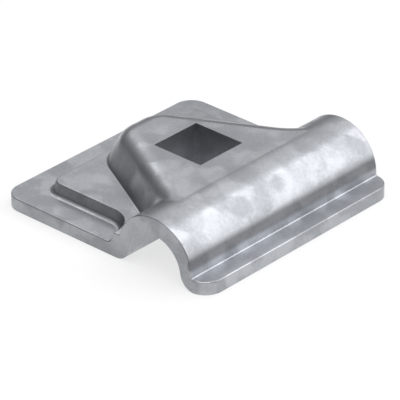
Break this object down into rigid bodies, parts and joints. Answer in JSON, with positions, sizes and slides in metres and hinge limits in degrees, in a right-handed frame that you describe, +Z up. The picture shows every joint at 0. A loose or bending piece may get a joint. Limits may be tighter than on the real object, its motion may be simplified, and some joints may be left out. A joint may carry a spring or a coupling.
{
  "type": "saddle clamp plate",
  "caption": "Nearly square pressed plate with a half-round saddle along one side and a square bolt hole through a raised boss, which clamps a round rod or wire against a surface.",
  "frame": {"origin": "on the flat underside at the middle of the plate, which is also the axis of the square bolt hole", "axes": "+X across the plate to the narrow flange beside the saddle, +Y along the saddle and its groove, +Z up, out of the top of the boss"},
  "size_m": [0.0486, 0.0492, 0.0113],
  "materials": {
    "galvanised_steel": "hot-dip galvanised: satin grey zinc with faint mottling"
  },
  "bodies": {
    "root": {"clamp_plate": "galvanised_steel"}
  },
  "joints": []
}
